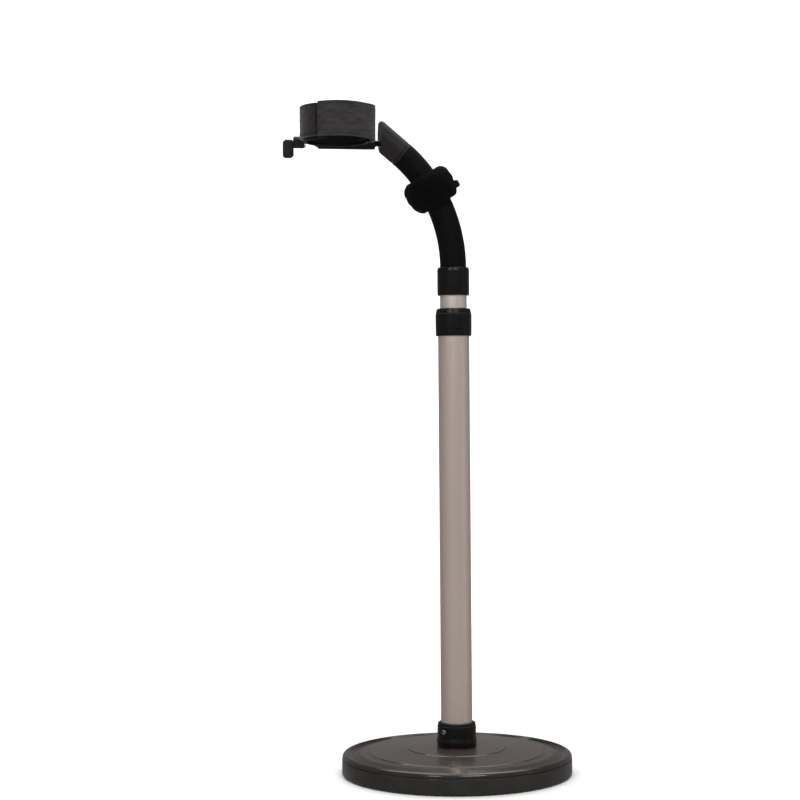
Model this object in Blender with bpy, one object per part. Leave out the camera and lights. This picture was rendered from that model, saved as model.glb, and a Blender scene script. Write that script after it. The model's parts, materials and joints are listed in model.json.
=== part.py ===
"""Hair dryer holder: a weighted round base, a telescopic pole, a flexible arm and a strapped cradle.

Metres, +Z up. The origin is on the floor at the middle of the base, on the pole's axis. The arm leans
towards -X, and the cradle stands in front of the arm, towards -Y. Each moving piece hangs from an empty
that sits on its joint's axis.
"""

import math

import bmesh
import bpy
from mathutils import Matrix, Vector

# Running and resting gaps between neighbouring pieces
GAP = 0.0003
LOOSE = 0.0004

# Base
PAD_RADIUS = 0.097
PAD_THICKNESS = 0.0020
COVER_RADIUS = 0.103
COVER_BOTTOM = 0.0012
COVER_WALL = 0.0025
SHOULDER_HEIGHT = 0.0184
SHOULDER_FILLET = 0.0030
OUTER_STEP_RADIUS = 0.079
INNER_STEP_RADIUS = 0.044
STEP_RISE = 0.0006
COVER_TOP = 0.0244
WEIGHT_RADIUS = 0.096
WEIGHT_TOP = 0.0125
WEIGHT_HUB_RADIUS = 0.026
WEIGHT_HUB_TOP = 0.0170
COVER_SCREWS = 4
COVER_SCREW_CIRCLE = 0.070
COVER_BOSS_RADIUS = 0.0042
COVER_SCREW_RADIUS = 0.0018
COVER_SCREW_HEAD_RADIUS = 0.0036

# Pole foot
COLLAR_RADIUS = 0.01775
COLLAR_TOP = 0.0462
COLLAR_FLANGE_TOP = 0.0324
SET_SCREW_RADIUS = 0.0024
SET_SCREW_HEIGHT = 0.0384
SET_SCREW_ANGLE = math.radians(216)
BOLT_RADIUS = 0.0040
BOLT_HEAD_RADIUS = 0.0075
BOLT_HEAD_TOP = 0.0085
WASHER_RADIUS = 0.0085
WASHER_TOP = 0.0101
BOLT_TOP = 0.0380
TUBE_PLUG_TOP = 0.0450

# Telescopic tubes and their lock
OUTER_TUBE_RADIUS = 0.0140
OUTER_TUBE_BORE = 0.0128
OUTER_TUBE_BOTTOM = WEIGHT_HUB_TOP + GAP
OUTER_TUBE_TOP = 0.4000
INNER_TUBE_RADIUS = 0.0120
INNER_TUBE_BORE = 0.0110
INNER_TUBE_BOTTOM = 0.0620
INNER_TUBE_TOP = 0.4370
LOCK_RADIUS = 0.01615
LOCK_BOTTOM = 0.3920
LOCK_TOP = 0.4167
LOCK_BODY_RADIUS = 0.0150
LOCK_BODY_TOP = 0.4090
COLLET_TOP = 0.4135
GLIDE_RADIUS = 0.0124

# Ferrule on the inner tube, and what holds the arm in it
FERRULE_RADIUS = 0.0145
FERRULE_BOTTOM = 0.4283
FERRULE_WEB = (0.4374, 0.4410)
FERRULE_TOP = 0.4536
MAST_PLUG_BOTTOM = 0.4150
MAST_SCREW_RADIUS = 0.0030

# Flexible arm: an arc that starts upright at the ferrule and leans towards -X
ARM_RADIUS = 0.01175
ARM_CURVE = 0.133
ARM_HINGES = 8
FIRST_HINGE = 0.0090
HINGE_SPACING = 0.0144
LINK_END_CONE = math.radians(11.5)
LINK_END_GAP = 0.00015

# Cord tie wound round the middle of the arm
TIE_LINK = 5
TIE_RADIUS = 0.0220
TIE_END_RADIUS = 0.0172
TIE_HALF_LENGTH = 0.0145
TIE_BORE = 0.01215
TIE_MOUTH = 0.0158

# Elbow at the arm's end and the cross bolt through it, which lies along X
ELBOW_LEAN = math.radians(50)
ELBOW_LENGTH = 0.0450
ELBOW_FACE_X = -0.0660
ELBOW_TOP_Z = 0.5828
PIVOT_Z = 0.5635
PIVOT_BOLT_RADIUS = 0.0028
PIVOT_BOLT_ENDS = (-0.1470, -0.0580)
INSERT_RADIUS = 0.0042
INSERT_END_X = -0.0572

# Cradle: a C round the dryer's neck, carried by a barrel on the cross bolt
CRADLE_X = -0.1110
CRADLE_Y = -0.0440
CRADLE_BOTTOM = 0.5600
CRADLE_TOP = 0.5890
CRADLE_RADII = (0.0262, 0.0286)
CRADLE_ARC = (-15, 245)
LINER_RADII = (0.0243, 0.0259)
LINER_ARC = (-13, 243)
BARREL_RADIUS = 0.0055
BARREL_ENDS = (-0.1320, -0.0703)
BRACKET_WIDTH = 0.0240
BRACKET_TOP = 0.5780

# Strap: its fixed end is riveted to the cradle's right arm, its free end laps over the left arm
STRAP_RADII = (0.0304, 0.0320)
STRAP_BOTTOM = 0.5595
STRAP_TOP = 0.5895
STRAP_ARC = (-126, -17.2)
STRAP_ANCHOR_ARC = (-15.4, 28)
STRAP_HINGE_ANGLE = -16.3
LOOP_PATCH_RADII = (0.0289, 0.0301)
LOOP_PATCH_ARC = (-208, -117)
RIVET_ANGLE = 18
RIVET_HEIGHTS = (0.5670, 0.5820)
RIVET_RADIUS = 0.0015

# Tilt lever on the cross bolt's free end
LEVER_NECK_RADIUS = 0.0053
LEVER_NECK_END_X = -0.1336
LEVER_SHOULDER_X = -0.1434
LEVER_END_X = -0.1524
LEVER_ABOVE = 0.0018
LEVER_BELOW = 0.0138
LEVER_HALF_DEPTH = 0.0050


def clear_scene():
    for old in list(bpy.data.objects):
        bpy.data.objects.remove(old, do_unlink=True)


def make_material(name, colour, roughness, metallic=0.0):
    made = bpy.data.materials.new(name)
    made.use_nodes = True
    shader = made.node_tree.nodes["Principled BSDF"]
    shader.inputs["Base Color"].default_value = (*colour, 1.0)
    shader.inputs["Roughness"].default_value = roughness
    shader.inputs["Metallic"].default_value = metallic
    return made


def make_materials():
    return {
        "black_plastic": make_material("black_plastic", (0.018, 0.018, 0.019), 0.45),
        "cast_iron": make_material("cast_iron", (0.06, 0.06, 0.06), 0.7, 0.6),
        "pad": make_material("pad", (0.02, 0.02, 0.02), 0.9),
        "anodised": make_material("anodised", (0.52, 0.46, 0.42), 0.35, 0.9),
        "steel": make_material("steel", (0.35, 0.35, 0.36), 0.35, 1.0),
        "sleeve": make_material("sleeve", (0.02, 0.02, 0.02), 0.6),
        "foam": make_material("foam", (0.03, 0.03, 0.03), 0.95),
        "webbing": make_material("webbing", (0.05, 0.05, 0.052), 0.85),
    }


def add_empty(name, world, parent=None):
    """An empty that stands on a joint's axis."""
    empty = bpy.data.objects.new(name, None)
    empty.empty_display_size = 0.01
    bpy.context.scene.collection.objects.link(empty)
    place(empty, world, parent)
    return empty


def place(piece, world, parent):
    """Parents a piece and gives it a world placement."""
    piece["world"] = [value for row in world for value in row]
    if parent is None:
        piece.matrix_basis = world
        return
    piece.parent = parent
    above = list(parent["world"])
    parent_world = Matrix([above[row * 4 : row * 4 + 4] for row in range(4)])
    piece.matrix_basis = parent_world.inverted() @ world


def add_piece(name, shape, finish, world, parent):
    """Turns a bmesh into a named object, shaded smooth across its round faces."""
    bmesh.ops.remove_doubles(shape, verts=shape.verts, dist=1e-7)
    bmesh.ops.recalc_face_normals(shape, faces=shape.faces)
    mesh = bpy.data.meshes.new(name)
    shape.to_mesh(mesh)
    shape.free()
    mesh.shade_smooth()
    mesh.set_sharp_from_angle(angle=math.radians(35))
    if finish is not None:
        mesh.materials.append(finish)
    piece = bpy.data.objects.new(name, mesh)
    bpy.context.scene.collection.objects.link(piece)
    place(piece, world, parent)
    return piece


def turned_shape(outline, steps=48, arc=None):
    """A closed outline of (radius, height) points turned about Z, all the way or over an arc in degrees."""
    shape = bmesh.new()
    start, end = arc or (0, 360)
    angle = math.radians(start)
    points = []
    for radius, height in outline:
        at = (radius * math.cos(angle), radius * math.sin(angle), height)
        points.append(shape.verts.new(at))
    edges = []
    for i, point in enumerate(points):
        if outline[i][0] > 0 or outline[i - 1][0] > 0:
            edges.append(shape.edges.new((points[i - 1], point)))
    if arc:
        cap = shape.faces.new(points)
        sweep = math.radians(end - start)
        bmesh.ops.spin(shape, geom=[cap], axis=(0, 0, 1), angle=sweep, steps=steps)
        return shape
    bmesh.ops.spin(
        shape,
        geom=points + edges,
        axis=(0, 0, 1),
        angle=math.radians(360),
        steps=steps,
        use_merge=True,
    )
    return shape


def turned(name, outline, finish, world=Matrix(), parent=None, steps=48, arc=None):
    return add_piece(name, turned_shape(outline, steps, arc), finish, world, parent)


def rod_outline(radius, bottom, top):
    return [(0, bottom), (radius, bottom), (radius, top), (0, top)]


def ring_outline(inner, outer, bottom, top):
    return [(inner, bottom), (outer, bottom), (outer, top), (inner, top)]


def box_shape(low, high):
    shape = bmesh.new()
    middle = [(a + b) / 2 for a, b in zip(low, high)]
    size = [b - a for a, b in zip(low, high)]
    bmesh.ops.create_cube(shape, size=1.0, matrix=Matrix.LocRotScale(Vector(middle), None, Vector(size)))
    return shape


def helper(piece):
    """A cutter, or a shape that another piece takes in, is no piece of its own."""
    piece.hide_render = True
    piece.display_type = "WIRE"
    return piece


def combine(piece, other, operation):
    modifier = piece.modifiers.new(operation.lower(), "BOOLEAN")
    modifier.operation = operation
    modifier.solver = "EXACT"
    modifier.object = helper(other)


def along_x(y, z):
    """A frame whose Z runs along the world's X, through a point of the YZ plane."""
    return Matrix.Translation((0, y, z)) @ Matrix.Rotation(math.radians(90), 4, "Y")


def arm_frame(distance):
    """The frame at a distance along the arm's middle line, with Z along the arm."""
    lean = distance / ARM_CURVE
    at = Vector((-ARM_CURVE * (1 - math.cos(lean)), 0, FERRULE_TOP + ARM_CURVE * math.sin(lean)))
    return Matrix.Translation(at) @ Matrix.Rotation(-lean, 4, "Y")


def hinge_distance(number):
    """How far along the arm the hinge of this number stands, counted from 1."""
    return FIRST_HINGE + HINGE_SPACING * (number - 1)


def link_frame(number):
    """The middle of the link between hinge number and the next, with Z along its chord."""
    near = arm_frame(hinge_distance(number)).translation
    far = arm_frame(hinge_distance(number + 1)).translation
    lean = math.atan2(near.x - far.x, far.z - near.z)
    return Matrix.Translation((near + far) / 2) @ Matrix.Rotation(-lean, 4, "Y")


def link_half_length():
    near = arm_frame(hinge_distance(1)).translation
    far = arm_frame(hinge_distance(2)).translation
    return (far - near).length / 2


def cone_end():
    """How far a link's rim stands back from its middle, so that the next link can lean."""
    return ARM_RADIUS * math.tan(LINK_END_CONE)


def build_base(finish, stand):
    turned("base_pad", rod_outline(PAD_RADIUS, 0, PAD_THICKNESS), finish["pad"], parent=stand, steps=64)
    build_weight(finish, stand)
    build_cover(finish, stand)
    for number in range(COVER_SCREWS):
        world = cover_screw_frame(number)
        outline = [
            (0, 0.0030),
            (COVER_SCREW_HEAD_RADIUS, 0.0030),
            (COVER_SCREW_HEAD_RADIUS, 0.0052),
            (COVER_SCREW_RADIUS, 0.0056),
            (COVER_SCREW_RADIUS, 0.0160),
            (0, 0.0164),
        ]
        turned(f"cover_screw_{number + 1}", outline, finish["steel"], world, stand, steps=12)


def cover_screw_frame(number):
    turn = Matrix.Rotation(math.radians(45 + 90 * number), 4, "Z")
    return turn @ Matrix.Translation((COVER_SCREW_CIRCLE, 0, 0))


def build_weight(finish, stand):
    bottom = PAD_THICKNESS + GAP
    outline = [
        (0.0045, WASHER_TOP + GAP),
        (0.0095, WASHER_TOP + GAP),
        (0.0095, bottom),
        (WEIGHT_RADIUS, bottom),
        (WEIGHT_RADIUS, WEIGHT_TOP - 0.002),
        (WEIGHT_RADIUS - 0.002, WEIGHT_TOP),
        (WEIGHT_HUB_RADIUS + 0.002, WEIGHT_TOP),
        (WEIGHT_HUB_RADIUS, WEIGHT_HUB_TOP),
        (0.0045, WEIGHT_HUB_TOP),
    ]
    weight = turned("base_weight", outline, finish["cast_iron"], parent=stand, steps=48)
    for number in range(COVER_SCREWS):
        hole = [
            (0, 0),
            (COVER_SCREW_HEAD_RADIUS + LOOSE, 0),
            (COVER_SCREW_HEAD_RADIUS + LOOSE, 0.0058),
            (COVER_SCREW_RADIUS + LOOSE, 0.0058),
            (COVER_SCREW_RADIUS + LOOSE, 0.0200),
            (0, 0.0200),
        ]
        cutter = turned(f"weight_hole_{number + 1}", hole, None, cover_screw_frame(number), stand, steps=12)
        combine(weight, cutter, "DIFFERENCE")


def dome_height(radius):
    """The cover's top surface inside its shoulder, without the ring steps."""
    rim = COVER_RADIUS - SHOULDER_FILLET
    rise = COVER_TOP - SHOULDER_HEIGHT - 2 * STEP_RISE
    return SHOULDER_HEIGHT + rise * (rim - radius) / (rim - OUTER_TUBE_RADIUS)


def build_cover(finish, stand):
    hole = OUTER_TUBE_RADIUS + LOOSE
    step = STEP_RISE
    outline = [(hole, COVER_TOP)]
    outline.append((INNER_STEP_RADIUS - step, dome_height(INNER_STEP_RADIUS) + 2 * step))
    outline.append((INNER_STEP_RADIUS, dome_height(INNER_STEP_RADIUS) + step))
    outline.append((OUTER_STEP_RADIUS - step, dome_height(OUTER_STEP_RADIUS) + step))
    outline.append((OUTER_STEP_RADIUS, dome_height(OUTER_STEP_RADIUS)))
    for i in range(5):
        angle = math.radians(90 - 22.5 * i)
        outline.append(
            (
                COVER_RADIUS - SHOULDER_FILLET * (1 - math.cos(angle)),
                SHOULDER_HEIGHT - SHOULDER_FILLET * (1 - math.sin(angle)),
            )
        )
    outline.append((COVER_RADIUS, COVER_BOTTOM))
    outline.append((COVER_RADIUS - COVER_WALL, COVER_BOTTOM))
    outline.append((COVER_RADIUS - COVER_WALL, SHOULDER_HEIGHT - COVER_WALL - 0.002))
    outline.append((COVER_RADIUS - COVER_WALL - 0.003, SHOULDER_HEIGHT - COVER_WALL))
    outline.append((hole, COVER_TOP - COVER_WALL))
    cover = turned("base_cover", outline, finish["black_plastic"], parent=stand, steps=64)
    boss = [
        (0.0021, WEIGHT_TOP + GAP),
        (COVER_BOSS_RADIUS, WEIGHT_TOP + GAP),
        (COVER_BOSS_RADIUS, 0.0190),
        (0.0021, 0.0180),
    ]
    for number in range(COVER_SCREWS):
        post = turned(f"cover_boss_{number + 1}", boss, None, cover_screw_frame(number), stand, steps=12)
        combine(cover, post, "UNION")


def build_pole_foot(finish, stand):
    bolt = [
        (0, 0.0032),
        (BOLT_HEAD_RADIUS, 0.0032),
        (BOLT_HEAD_RADIUS, BOLT_HEAD_TOP),
        (BOLT_RADIUS, BOLT_HEAD_TOP),
        (BOLT_RADIUS, BOLT_TOP),
        (0, BOLT_TOP),
    ]
    turned("pole_bolt", bolt, finish["steel"], parent=stand, steps=18)
    washer = ring_outline(BOLT_RADIUS + LOOSE, WASHER_RADIUS, BOLT_HEAD_TOP + GAP, WASHER_TOP)
    turned("pole_washer", washer, finish["steel"], parent=stand, steps=24)
    plug = [
        (BOLT_RADIUS + LOOSE, WEIGHT_HUB_TOP + GAP),
        (OUTER_TUBE_BORE - LOOSE, WEIGHT_HUB_TOP + GAP),
        (OUTER_TUBE_BORE - LOOSE, TUBE_PLUG_TOP),
        (0, TUBE_PLUG_TOP),
        (0, BOLT_TOP + 0.002),
        (BOLT_RADIUS + LOOSE, BOLT_TOP + 0.002),
    ]
    turned("tube_plug", plug, finish["black_plastic"], parent=stand, steps=32)
    build_collar(finish, stand)


def build_collar(finish, stand):
    bore = OUTER_TUBE_RADIUS + LOOSE
    upper = COLLAR_RADIUS - 0.0005
    outline = [
        (bore, COVER_TOP + GAP),
        (COLLAR_RADIUS + 0.0004, COVER_TOP + GAP),
        (COLLAR_RADIUS + 0.0004, COLLAR_FLANGE_TOP - 0.0005),
        (upper, COLLAR_FLANGE_TOP),
        (upper, COLLAR_TOP - 0.0012),
        (upper - 0.0012, COLLAR_TOP),
        (bore, COLLAR_TOP),
    ]
    collar = turned("base_collar", outline, finish["black_plastic"], parent=stand, steps=32)
    turn = Matrix.Rotation(SET_SCREW_ANGLE, 4, "Z")
    outward = turn @ Matrix.Translation((0, 0, SET_SCREW_HEIGHT)) @ Matrix.Rotation(math.radians(90), 4, "Y")
    hole = rod_outline(SET_SCREW_RADIUS + GAP, 0.010, 0.030)
    combine(collar, turned("set_screw_hole", hole, None, outward, stand, steps=16), "DIFFERENCE")
    screw = rod_outline(SET_SCREW_RADIUS, OUTER_TUBE_RADIUS + GAP, upper + 0.0006)
    turned("base_set_screw", screw, finish["steel"], outward, stand, steps=16)


def build_outer_tube(finish, stand):
    tube = ring_outline(OUTER_TUBE_BORE, OUTER_TUBE_RADIUS, OUTER_TUBE_BOTTOM, OUTER_TUBE_TOP)
    turned("outer_tube", tube, finish["anodised"], parent=stand, steps=48)
    passage = INNER_TUBE_RADIUS + LOOSE
    body = [
        (OUTER_TUBE_RADIUS + GAP, LOCK_BOTTOM + 0.001),
        (LOCK_BODY_RADIUS, LOCK_BOTTOM + 0.001),
        (LOCK_BODY_RADIUS, LOCK_BODY_TOP),
        (passage, LOCK_BODY_TOP),
        (passage, OUTER_TUBE_TOP + GAP),
        (OUTER_TUBE_RADIUS + GAP, OUTER_TUBE_TOP + GAP),
    ]
    turned("lock_body", body, finish["black_plastic"], parent=stand, steps=32)
    collet = [
        (passage, LOCK_BODY_TOP + GAP),
        (0.0141, LOCK_BODY_TOP + GAP),
        (0.0133, COLLET_TOP),
        (passage, COLLET_TOP),
    ]
    turned("lock_collet", collet, finish["black_plastic"], parent=stand, steps=30, arc=(8, 352))


def build_lock_collar(finish, lock):
    passage = INNER_TUBE_RADIUS + LOOSE
    inside = LOCK_BODY_RADIUS + GAP
    outline = [
        (inside, LOCK_BOTTOM),
        (LOCK_RADIUS - 0.0005, LOCK_BOTTOM),
        (LOCK_RADIUS, LOCK_BOTTOM + 0.0006),
        (LOCK_RADIUS, LOCK_TOP - 0.0020),
        (LOCK_RADIUS - 0.0018, LOCK_TOP),
        (passage, LOCK_TOP),
        (passage, COLLET_TOP + 0.0005),
        (0.0137, COLLET_TOP + 0.0005),
        (0.0145, LOCK_BODY_TOP + GAP),
        (inside, LOCK_BODY_TOP + GAP),
    ]
    turned("lock_collar", outline, finish["black_plastic"], parent=lock, steps=32)


def build_glide(finish, slide):
    top = INNER_TUBE_BOTTOM - GAP
    outline = [
        (0.0090, top - 0.0036),
        (GLIDE_RADIUS - 0.0006, top - 0.0036),
        (GLIDE_RADIUS, top - 0.0030),
        (GLIDE_RADIUS, top),
        (INNER_TUBE_BORE - LOOSE, top),
        (INNER_TUBE_BORE - LOOSE, top + 0.0140),
        (0.0090, top + 0.0140),
    ]
    turned("glide_bush", outline, finish["black_plastic"], parent=slide, steps=32)


def build_mast(finish, mast):
    tube = ring_outline(INNER_TUBE_BORE, INNER_TUBE_RADIUS, INNER_TUBE_BOTTOM, INNER_TUBE_TOP)
    turned("inner_tube", tube, finish["anodised"], parent=mast, steps=48)
    web_bottom, web_top = FERRULE_WEB
    ferrule = [
        (INNER_TUBE_RADIUS + GAP, FERRULE_BOTTOM),
        (FERRULE_RADIUS - 0.0006, FERRULE_BOTTOM),
        (FERRULE_RADIUS, FERRULE_BOTTOM + 0.0006),
        (FERRULE_RADIUS, FERRULE_TOP - 0.0014),
        (FERRULE_RADIUS - 0.0010, FERRULE_TOP),
        (ARM_RADIUS + LOOSE, FERRULE_TOP),
        (ARM_RADIUS + LOOSE, web_top),
        (0.0045, web_top),
        (0.0045, web_bottom),
        (INNER_TUBE_RADIUS + GAP, web_bottom),
    ]
    turned("ferrule", ferrule, finish["black_plastic"], parent=mast, steps=32)
    plug = [
        (MAST_SCREW_RADIUS + LOOSE, MAST_PLUG_BOTTOM),
        (INNER_TUBE_BORE - LOOSE, MAST_PLUG_BOTTOM),
        (INNER_TUBE_BORE - LOOSE, INNER_TUBE_TOP),
        (MAST_SCREW_RADIUS + LOOSE, INNER_TUBE_TOP),
    ]
    turned("mast_plug", plug, finish["black_plastic"], parent=mast, steps=32)
    screw = [
        (0, MAST_PLUG_BOTTOM - 0.0040),
        (0.0055, MAST_PLUG_BOTTOM - 0.0040),
        (0.0055, MAST_PLUG_BOTTOM - GAP),
        (MAST_SCREW_RADIUS, MAST_PLUG_BOTTOM - GAP),
        (MAST_SCREW_RADIUS, web_top + 0.0060),
        (0, web_top + 0.0060),
    ]
    turned("mast_screw", screw, finish["steel"], parent=mast, steps=18)
    first = FERRULE_TOP + FIRST_HINGE - LINK_END_GAP
    root = [
        (MAST_SCREW_RADIUS + LOOSE, web_top + GAP),
        (ARM_RADIUS, web_top + GAP),
        (ARM_RADIUS, first - cone_end()),
        (0, first),
        (0, web_top + 0.0064),
        (MAST_SCREW_RADIUS + LOOSE, web_top + 0.0064),
    ]
    turned("arm_root_plug", root, finish["sleeve"], parent=mast, steps=32)


def build_link(finish, number, hinge):
    half = link_half_length() - LINK_END_GAP
    rim = half - cone_end()
    outline = [(0, -half), (ARM_RADIUS, -rim), (ARM_RADIUS, rim), (0, half)]
    turned(f"arm_link_{number}", outline, finish["sleeve"], link_frame(number), hinge, steps=32)


def build_cord_tie(finish, hinge):
    outline = [
        (TIE_MOUTH, -TIE_HALF_LENGTH),
        (TIE_END_RADIUS, -TIE_HALF_LENGTH),
        (TIE_RADIUS - 0.0014, -0.0085),
        (TIE_RADIUS, -0.0040),
        (TIE_RADIUS, 0.0040),
        (TIE_RADIUS - 0.0014, 0.0085),
        (TIE_END_RADIUS, TIE_HALF_LENGTH),
        (TIE_MOUTH, TIE_HALF_LENGTH),
        (TIE_BORE, 0.0050),
        (TIE_BORE, -0.0050),
    ]
    turned("cord_tie", outline, finish["webbing"], link_frame(TIE_LINK), hinge, steps=30)


def build_elbow(finish, head):
    last = arm_frame(hinge_distance(ARM_HINGES)).translation
    axis = Matrix.Translation(last) @ Matrix.Rotation(-ELBOW_LEAN, 4, "Y")
    plug = [
        (0, LINK_END_GAP),
        (ARM_RADIUS, LINK_END_GAP + cone_end()),
        (ARM_RADIUS, ELBOW_LENGTH),
        (0, ELBOW_LENGTH),
    ]
    elbow = turned("elbow", plug, finish["black_plastic"], axis, head, steps=40)
    beyond = box_shape((ELBOW_FACE_X - 0.06, -0.03, 0.53), (ELBOW_FACE_X, 0.03, 0.63))
    combine(elbow, add_piece("elbow_face_cut", beyond, None, Matrix(), head), "DIFFERENCE")
    above = box_shape((ELBOW_FACE_X - 0.07, -0.035, ELBOW_TOP_Z), (ELBOW_FACE_X + 0.06, 0.035, 0.64))
    combine(elbow, add_piece("elbow_top_cut", above, None, Matrix(), head), "DIFFERENCE")
    pivot = along_x(0, PIVOT_Z)
    bore = rod_outline(INSERT_RADIUS + GAP, ELBOW_FACE_X - 0.01, INSERT_END_X + GAP)
    combine(elbow, turned("insert_bore", bore, None, pivot, head, steps=24), "DIFFERENCE")
    insert = ring_outline(PIVOT_BOLT_RADIUS + GAP, INSERT_RADIUS, ELBOW_FACE_X + GAP, INSERT_END_X)
    turned("pivot_insert", insert, finish["steel"], pivot, head, steps=24)
    bolt = rod_outline(PIVOT_BOLT_RADIUS, *PIVOT_BOLT_ENDS)
    turned("pivot_bolt", bolt, finish["steel"], pivot, head, steps=24)
    washer_end = LEVER_NECK_END_X + LOOSE
    washer = ring_outline(PIVOT_BOLT_RADIUS + GAP, 0.0050, washer_end, washer_end + 0.0008)
    turned("wave_washer", washer, finish["steel"], pivot, head, steps=24)


def cradle_frame():
    return Matrix.Translation((CRADLE_X, CRADLE_Y, 0))


def build_cradle(finish, tilt):
    ring = cradle_frame()
    wall = ring_outline(*CRADLE_RADII, CRADLE_BOTTOM, CRADLE_TOP)
    shell = turned("cradle_shell", wall, finish["black_plastic"], ring, tilt, steps=44, arc=CRADLE_ARC)
    low = (CRADLE_X - BRACKET_WIDTH / 2, CRADLE_Y + CRADLE_RADII[0] + 0.0012, CRADLE_BOTTOM + 0.0002)
    high = (CRADLE_X + BRACKET_WIDTH / 2, -0.0020, BRACKET_TOP)
    combine(shell, add_piece("cradle_bracket", box_shape(low, high), None, Matrix(), tilt), "UNION")
    pivot = along_x(0, PIVOT_Z)
    barrel = rod_outline(BARREL_RADIUS, *BARREL_ENDS)
    combine(shell, turned("cradle_barrel", barrel, None, pivot, tilt, steps=32), "UNION")
    bore = rod_outline(PIVOT_BOLT_RADIUS + GAP, BARREL_ENDS[0] - 0.01, BARREL_ENDS[1] + 0.01)
    combine(shell, turned("barrel_bore", bore, None, pivot, tilt, steps=24), "DIFFERENCE")
    liner = ring_outline(*LINER_RADII, CRADLE_BOTTOM + 0.0005, CRADLE_TOP - 0.0005)
    turned("cradle_liner", liner, finish["foam"], ring, tilt, steps=32, arc=LINER_ARC)
    patch = ring_outline(*LOOP_PATCH_RADII, CRADLE_BOTTOM + 0.0005, CRADLE_TOP - 0.0005)
    turned("loop_patch", patch, finish["webbing"], ring, tilt, steps=24, arc=LOOP_PATCH_ARC)
    build_strap_anchor(finish, tilt, shell)


def build_strap_anchor(finish, tilt, shell):
    ring = cradle_frame()
    webbing = ring_outline(*STRAP_RADII, STRAP_BOTTOM, STRAP_TOP)
    anchor = turned("strap_anchor", webbing, finish["webbing"], ring, tilt, steps=10, arc=STRAP_ANCHOR_ARC)
    for number, height in enumerate(RIVET_HEIGHTS, 1):
        turn = Matrix.Rotation(math.radians(RIVET_ANGLE), 4, "Z")
        outward = ring @ turn @ Matrix.Translation((0, 0, height)) @ Matrix.Rotation(math.radians(90), 4, "Y")
        for holed, label in ((anchor, "anchor"), (shell, "shell")):
            hole = rod_outline(RIVET_RADIUS + GAP, 0.020, 0.040)
            cutter = turned(f"rivet_hole_{label}_{number}", hole, None, outward, tilt, steps=12)
            combine(holed, cutter, "DIFFERENCE")
        rivet = [
            (0, CRADLE_RADII[0] + 0.0002),
            (RIVET_RADIUS, CRADLE_RADII[0] + 0.0002),
            (RIVET_RADIUS, STRAP_RADII[1] + GAP),
            (0.0032, STRAP_RADII[1] + GAP),
            (0.0028, STRAP_RADII[1] + 0.0009),
            (0, STRAP_RADII[1] + 0.0013),
        ]
        turned(f"strap_rivet_{number}", rivet, finish["steel"], outward, tilt, steps=12)


def build_strap(finish, opening):
    webbing = ring_outline(*STRAP_RADII, STRAP_BOTTOM, STRAP_TOP)
    turned("strap", webbing, finish["webbing"], cradle_frame(), opening, steps=26, arc=STRAP_ARC)


def build_lever(finish, turning):
    pivot = along_x(0, PIVOT_Z)
    neck = rod_outline(LEVER_NECK_RADIUS, LEVER_SHOULDER_X - 0.002, LEVER_NECK_END_X)
    lever = turned("tilt_lever", neck, finish["black_plastic"], pivot, turning, steps=28)
    low = (LEVER_END_X, -LEVER_HALF_DEPTH, PIVOT_Z - LEVER_BELOW)
    high = (LEVER_SHOULDER_X, LEVER_HALF_DEPTH, PIVOT_Z + LEVER_ABOVE)
    shape = box_shape(low, high)
    bmesh.ops.bevel(shape, geom=shape.edges[:], offset=0.0022, segments=3, affect="EDGES")
    combine(lever, add_piece("lever_paddle", shape, None, Matrix(), turning), "UNION")
    bore = rod_outline(PIVOT_BOLT_RADIUS + GAP, PIVOT_BOLT_ENDS[0] - GAP, LEVER_NECK_END_X + 0.01)
    combine(lever, turned("lever_bore", bore, None, pivot, turning, steps=24), "DIFFERENCE")


def strap_hinge_frame():
    """The upright line on the strap's outer face where it bends open."""
    angle = math.radians(STRAP_HINGE_ANGLE)
    outside = STRAP_RADII[1] + 0.0001
    at = (CRADLE_X + outside * math.cos(angle), CRADLE_Y + outside * math.sin(angle), STRAP_BOTTOM)
    return Matrix.Translation(at)


def main():
    clear_scene()
    finish = make_materials()
    upright = Matrix()
    stand = add_empty("stand", upright)
    build_base(finish, stand)
    build_pole_foot(finish, stand)
    build_outer_tube(finish, stand)
    build_lock_collar(finish, add_empty("lock_twist", upright, stand))
    slide = add_empty("lift", upright, stand)
    build_glide(finish, slide)
    mast = add_empty("swivel", upright, slide)
    build_mast(finish, mast)
    carrier = mast
    for number in range(1, ARM_HINGES):
        carrier = add_empty(f"arm_hinge_{number}", arm_frame(hinge_distance(number)), carrier)
        build_link(finish, number, carrier)
        if number == TIE_LINK:
            build_cord_tie(finish, carrier)
    head = add_empty(f"arm_hinge_{ARM_HINGES}", arm_frame(hinge_distance(ARM_HINGES)), carrier)
    build_elbow(finish, head)
    tilt = add_empty("tilt", Matrix.Translation((CRADLE_X, 0, PIVOT_Z)), head)
    build_cradle(finish, tilt)
    build_strap(finish, add_empty("strap_open", strap_hinge_frame(), tilt))
    build_lever(finish, add_empty("lever_turn", Matrix.Translation((LEVER_SHOULDER_X, 0, PIVOT_Z)), head))


main()
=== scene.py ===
"""The looks of the hair dryer holder: a moulded base, anodised tubes, a sleeved flexible arm, a cord tie
of hook-and-loop tape and a strapped, padded cradle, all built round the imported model's bodies.

Metres, +Z up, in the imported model's frame.
"""

import json
import math

import bmesh
import bpy
import numpy as np
from mathutils import Matrix, Vector


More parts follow.
